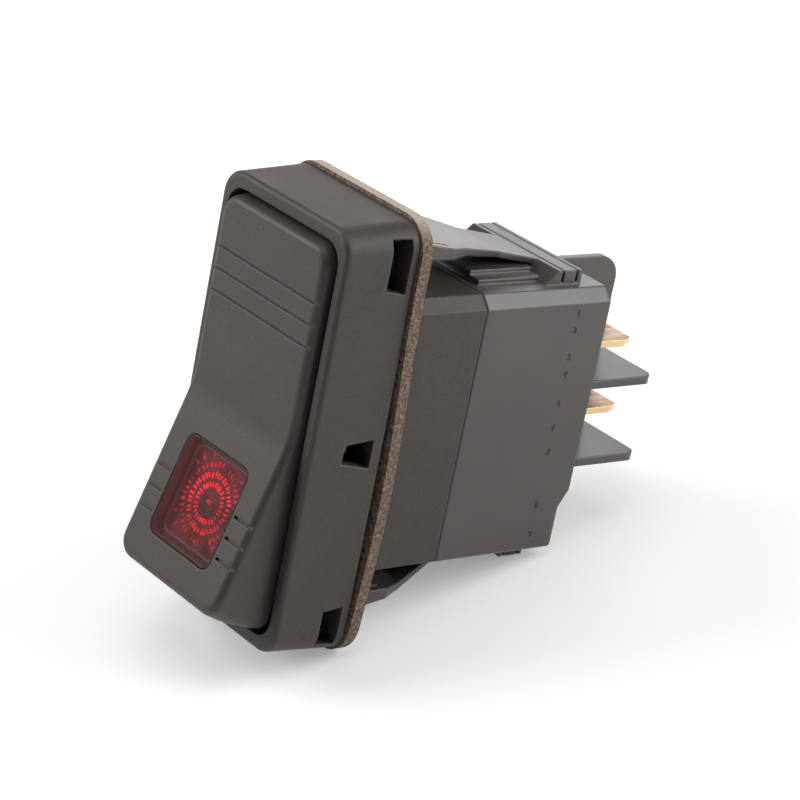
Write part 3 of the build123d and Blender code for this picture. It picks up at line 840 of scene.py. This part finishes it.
class SWITCH_OT_gasket(Operator):
    """Make the gasket as cut sheet whose loose sides bow away from the bezel"""

    bl_idname = "switch.gasket"
    bl_label = "Make the bowed gasket"

    def execute(self, context):
        size = context.scene.switch_gasket
        piece = merged_copy("panel_gasket", "bowed_gasket")
        low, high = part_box("panel_gasket")
        bpy.ops.object.mode_set(mode="EDIT")
        cuts = int((high.z - low.z) / size.slice)
        for number in range(1, cuts):
            bpy.ops.mesh.select_all(action="SELECT")
            height = low.z + (high.z - low.z) * number / cuts
            bpy.ops.mesh.bisect(plane_co=(0, 0, height), plane_no=(0, 0, 1))
        bpy.ops.object.mode_set(mode="OBJECT")
        for vertex in piece.data.vertices:
            end = size.upper_end if vertex.co.z > size.middle else size.lower_end
            share = min(1.0, (vertex.co.z - size.middle) / (end - size.middle))
            vertex.co.y += size.bow * math.cos(math.pi / 2 * share) ** BOW_POWER
        select_only(piece)
        bpy.ops.object.shade_smooth_by_angle(angle=SMOOTH_BELOW)
        sheet = gasket_sheet("cork_rubber_gasket_sheet", "#463930", "#756353", "#ab9c8d")
        settle(piece, sheet, "switch_body")
        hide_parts("panel_gasket")
        return {"FINISHED"}


class SWITCH_OT_lens(Operator):
    """Make the red lens plate and the rings of prisms under it"""

    bl_idname = "switch.lens"
    bl_label = "Make the lens"

    def execute(self, context):
        size = context.scene.switch_lens
        look = context.scene.switch_finishes
        self.make_plate(look)
        self.make_backing(size)
        self.make_prisms(size)
        return {"FINISHED"}

    def make_plate(self, look):
        """The clear plate, with painted shade on its sides and a black line of painted shade round its face.
        """
        plate = merged_copy("lens", "lens_plate")
        bpy.ops.object.shade_smooth_by_angle(angle=SMOOTH_BELOW)
        clear = lens_polycarbonate("clear_red_polycarbonate", look.lens, 0.36, 0.12)
        settle(plate, clear, "rocker")
        # A black line of painted shade where the gap round the plate lies in shade, and painted shade on its
        # sides.
        plate.data.materials.append(
            lens_polycarbonate("painted_gap_shade_polycarbonate", "#0c0506", 0.95, 0.3)
        )
        plate.data.materials.append(
            lens_polycarbonate("shaded_depth_polycarbonate", "#7d6b67", 0.98, 0.6)
        )
        self.darken_edge(plate)
        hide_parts("lens")

    def darken_edge(self, plate):
        """Paint shade on the plate's sides and back, and a thin black line of painted shade round its face.
        """
        out = paddle_matrix(0.0).to_3x3() @ Vector((0, 0, 1))
        select_only(plate)
        bpy.ops.object.mode_set(mode="EDIT")
        bpy.ops.mesh.select_all(action="SELECT")
        bpy.ops.mesh.dissolve_limited(angle_limit=FLAT_BELOW)
        work = bmesh.from_edit_mesh(plate.data)
        for face in work.faces:
            face.material_index = SIDE_SHADE_FINISH
            face.select_set(face.normal.dot(out) > FACES_THAT_WAY)
        bmesh.update_edit_mesh(plate.data)
        bpy.ops.mesh.inset(thickness=GAP_SHADE_WIDTH * MM)
        work = bmesh.from_edit_mesh(plate.data)
        for face in work.faces:
            if face.normal.dot(out) > FACES_THAT_WAY:
                face.material_index = FACE_FINISH if face.select else GAP_SHADE_FINISH
        bmesh.update_edit_mesh(plate.data)
        bpy.ops.object.mode_set(mode="OBJECT")

    def make_backing(self, size):
        """The dark red floor that the prisms stand on, with a faint painted glow."""
        select_nothing()
        bpy.ops.mesh.primitive_plane_add(size=1)
        floor = bpy.context.object
        floor.name = "lens_floor"
        floor.scale = ((LENS_WIDTH - FLOOR_MARGIN) * MM, (LENS_HEIGHT - FLOOR_MARGIN) * MM, 1)
        bpy.ops.object.transform_apply(scale=True)
        bpy.ops.object.mode_set(mode="EDIT")
        bpy.ops.mesh.select_all(action="SELECT")
        bpy.ops.mesh.bevel(offset=FLOOR_CORNER * MM, segments=4, affect="VERTICES")
        down = (0, 0, -FLOOR_THICKNESS * MM)
        bpy.ops.mesh.extrude_region_move(TRANSFORM_OT_translate={"value": down})
        bpy.ops.mesh.select_all(action="SELECT")
        bpy.ops.mesh.normals_make_consistent(inside=False)
        bpy.ops.object.mode_set(mode="OBJECT")
        floor.matrix_world = paddle_matrix(size.depth / MM + FLOOR_UNDER_PRISMS)
        # A faint painted glow on the floor, which is no lamp.
        dark = prism_red("red_lens_floor_painted_glow", "#2a0a0c", "#6a1a22", 0.3, 1.6)
        settle(floor, dark, "rocker")

    def make_prisms(self, size):
        """One wedge-topped prism, copied round each ring inside the plate's outline."""
        select_nothing()
        bpy.ops.mesh.primitive_cube_add(size=1, location=(0, 0, 0))
        prism = bpy.context.object
        prism.scale = [side * MM for side in PRISM_SIZE]
        bpy.ops.object.transform_apply(scale=True)
        bpy.ops.object.mode_set(mode="EDIT")
        work = bmesh.from_edit_mesh(prism.data)
        for face in work.faces:
            face.select_set(face.normal.z > FACES_THAT_WAY)
        bmesh.update_edit_mesh(prism.data)
        bpy.ops.transform.resize(value=PRISM_TOP_SHARE)
        bpy.ops.object.mode_set(mode="OBJECT")
        half_width = (LENS_WIDTH - PRISM_MARGIN) / 2 * MM
        half_height = (LENS_HEIGHT - PRISM_MARGIN) / 2 * MM
        groups = {"near": [], "middle": [], "far": []}
        shake = random.Random(PRISM_SEED)
        plane = paddle_matrix(size.depth / MM)
        for ring in range(size.rings):
            radius = size.first_ring + ring * size.ring_pitch
            count = RING_COUNTS[ring]
            for number in range(count):
                angle = 2 * math.pi * (number + shake.uniform(-TURN_SHAKE, TURN_SHAKE)) / count
                reach = radius + shake.uniform(-RADIUS_SHAKE, RADIUS_SHAKE) * MM
                across = reach * math.cos(angle)
                up = reach * math.sin(angle)
                if abs(across) > half_width or abs(up) > half_height:
                    continue
                turn = Matrix.Rotation(angle, 4, "Z")
                length = shake.uniform(*LENGTH_SHARES)
                width = shake.uniform(*WIDTH_SHARES)
                stretch = Matrix.Diagonal((length, width, 1, 1))
                place = plane @ Matrix.Translation((across, up, 0)) @ turn @ stretch
                groups[RING_GLOW_LEVELS[ring]].append(copied(prism, place))
        for across, up in CENTRE_PRISMS:
            place = plane @ Matrix.Translation((across * MM, up * MM, 0))
            groups["middle"].append(copied(prism, place))
        bpy.data.objects.remove(prism)
        # Dull and bright red with a painted glow and painted glints, at three levels of brightness.
        finishes = {
            "near": prism_red("bright_red_prisms_painted_glow", "#b01626", "#ff2438", 1.0),
            "middle": prism_red("dimmer_red_prisms_painted_glow", "#6b151c", "#e02634", 0.8),
            "far": prism_red("faint_red_prisms_painted_glow", "#5d1219", "#d62b3a", 0.9, 1.2),
        }
        for name, copies in groups.items():
            prisms = joined(copies, f"lens_prisms_{name}")
            settle(prisms, finishes[name], "rocker")


class SWITCH_OT_numbers(Operator):
    """Put the small raised position numbers down the body's side"""

    bl_idname = "switch.numbers"
    bl_label = "Add the raised numbers"

    def execute(self, context):
        size = context.scene.switch_numbers
        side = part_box("terminal_base")[1].x
        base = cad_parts["terminal_base"].data.materials[0]
        made = []
        for number, height in enumerate(NUMBER_HEIGHTS, start=1):
            select_nothing()
            bpy.ops.object.text_add()
            text = bpy.context.object
            text.data.body = str(number)
            text.data.align_x = "CENTER"
            text.data.align_y = "CENTER"
            text.data.size = size.height * TEXT_SIZE_FOR_HEIGHT
            text.data.extrude = size.relief
            bpy.ops.object.convert(target="MESH")
            digit = bpy.context.object
            turn = Matrix(((0, 0, 1), (1, 0, 0), (0, 1, 0))).to_4x4()
            place = Matrix.Translation((side, NUMBERS_Y * MM, height * MM))
            digit.matrix_world = place @ turn
            made.append(digit)
        settle(joined(made, "raised_numbers"), base, "switch_body")
        return {"FINISHED"}


class SWITCH_OT_stage(Operator):
    """Set the camera, the floor under the switch and the soft studio light"""

    bl_idname = "switch.stage"
    bl_label = "Set the stage"

    def execute(self, context):
        size = context.scene.switch_stage
        self.make_camera()
        self.make_floor(size)
        self.make_lights(size)
        self.make_world(size)
        context.scene.view_settings.view_transform = "Standard"
        return {"FINISHED"}

    def make_camera(self):
        """The camera that took the photograph."""
        camera = bpy.data.cameras.new("photo_camera")
        camera.sensor_width = SENSOR_WIDTH
        camera.lens = camera.sensor_width * CAMERA_FOCAL_PIXELS / PICTURE_PIXELS
        camera.clip_start = NEAREST_SEEN
        camera.clip_end = FARTHEST_SEEN
        view = bpy.data.objects.new("photo_camera", camera)
        bpy.context.scene.collection.objects.link(view)
        right = Vector(CAMERA_RIGHT)
        up = -Vector(CAMERA_DOWN)
        turn = Matrix((right, up, right.cross(up))).transposed().to_4x4()
        view.matrix_world = Matrix.Translation(Vector(CAMERA_PLACE) * MM) @ turn
        bpy.context.scene.camera = view

    def stage_matrix(self, size):
        """Floor frame: its origin under the gasket's lower edge, X across, Z up from the floor."""
        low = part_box("panel_gasket")[0]
        foot = Matrix.Translation((0, 0, low.z))
        return foot @ Matrix.Rotation(size.lean, 4, "X")

    def make_floor(self, size):
        """The white sheet that the switch rests on."""
        select_nothing()
        bpy.ops.mesh.primitive_plane_add(size=FLOOR_WIDTH)
        floor = bpy.context.object
        floor.name = "paper_floor"
        floor.matrix_world = self.stage_matrix(size)
        bpy.ops.object.transform_apply(location=True, rotation=True, scale=True)
        floor.data.materials.append(paper_floor("white_paper", size.paper, size.lift))

    def make_lights(self, size):
        """Square softboxes round the switch, all turned to it."""
        lights = {
            "top_softbox": (*TOP_SOFTBOX, size.top_light),
            "left_softbox": (*LEFT_SOFTBOX, size.left_light),
            "right_softbox": (*RIGHT_SOFTBOX, size.right_light),
            "rim_softbox": (*RIM_SOFTBOX, size.rim_light),
        }
        floor = self.stage_matrix(size)
        target = Vector(LIT_POINT)
        for name, (place, width, power) in lights.items():
            light = bpy.data.lights.new(name, "AREA")
            light.shape = "SQUARE"
            light.size = width
            light.energy = power
            lamp = bpy.data.objects.new(name, light)
            bpy.context.scene.collection.objects.link(lamp)
            lamp.location = floor @ Vector(place)
            lamp.rotation_mode = "QUATERNION"
            lamp.rotation_quaternion = (target - lamp.location).to_track_quat("-Z", "Y")

    def make_world(self, size):
        """White where the camera looks past the floor, and almost no light of its own."""
        world = bpy.data.worlds.new("white_studio")
        world.use_nodes = True
        tree = world.node_tree
        tree.nodes.clear()
        seen = add_node(tree, "ShaderNodeLightPath").outputs["Is Camera Ray"]
        strength = add_node(
            tree,
            "ShaderNodeMapRange",
            inputs=dict(zip(RANGE, (seen, 0.0, 1.0, size.ambient, 1.0))),
        )
        background = add_node(
            tree,
            "ShaderNodeBackground",
            inputs={"Color": linear("#ffffff"), "Strength": strength.outputs["Result"]},
        )
        output = add_node(tree, "ShaderNodeOutputWorld")
        tree.links.new(background.outputs["Background"], output.inputs["Surface"])
        bpy.context.scene.world = world


class SWITCH_PT_panel(Panel):
    """Shows each group's settings with the button that applies them"""

    bl_label = "Rocker power switch"
    bl_idname = "SWITCH_PT_panel"
    bl_space_type = "VIEW_3D"
    bl_region_type = "UI"
    bl_category = "Switch"

    def draw(self, context):
        for name, operator in zip(GROUPS, OPERATORS):
            group = getattr(context.scene, name)
            box = self.layout.box()
            for key in group.bl_rna.properties.keys():
                if key not in ("rna_type", "name"):
                    box.prop(group, key)
            box.operator(operator.bl_idname)


GROUPS = {
    "switch_finishes": SwitchFinishes,
    "switch_gasket": SwitchGasket,
    "switch_lens": SwitchLens,
    "switch_numbers": SwitchNumbers,
    "switch_stage": SwitchStage,
}
OPERATORS = (
    SWITCH_OT_finishes,
    SWITCH_OT_gasket,
    SWITCH_OT_lens,
    SWITCH_OT_numbers,
    SWITCH_OT_stage,
)


def register():
    for name, group in GROUPS.items():
        bpy.utils.register_class(group)
        setattr(bpy.types.Scene, name, PointerProperty(type=group))
    for operator in OPERATORS:
        bpy.utils.register_class(operator)
    bpy.utils.register_class(SWITCH_PT_panel)


def unregister():
    bpy.utils.unregister_class(SWITCH_PT_panel)
    for operator in reversed(OPERATORS):
        bpy.utils.unregister_class(operator)
    for name, group in reversed(GROUPS.items()):
        delattr(bpy.types.Scene, name)
        bpy.utils.unregister_class(group)


def main():
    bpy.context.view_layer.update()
    register()
    bpy.ops.switch.finishes()
    bpy.ops.switch.gasket()
    bpy.ops.switch.lens()
    bpy.ops.switch.numbers()
    bpy.ops.switch.stage()


if __name__ == "__main__":
    main()
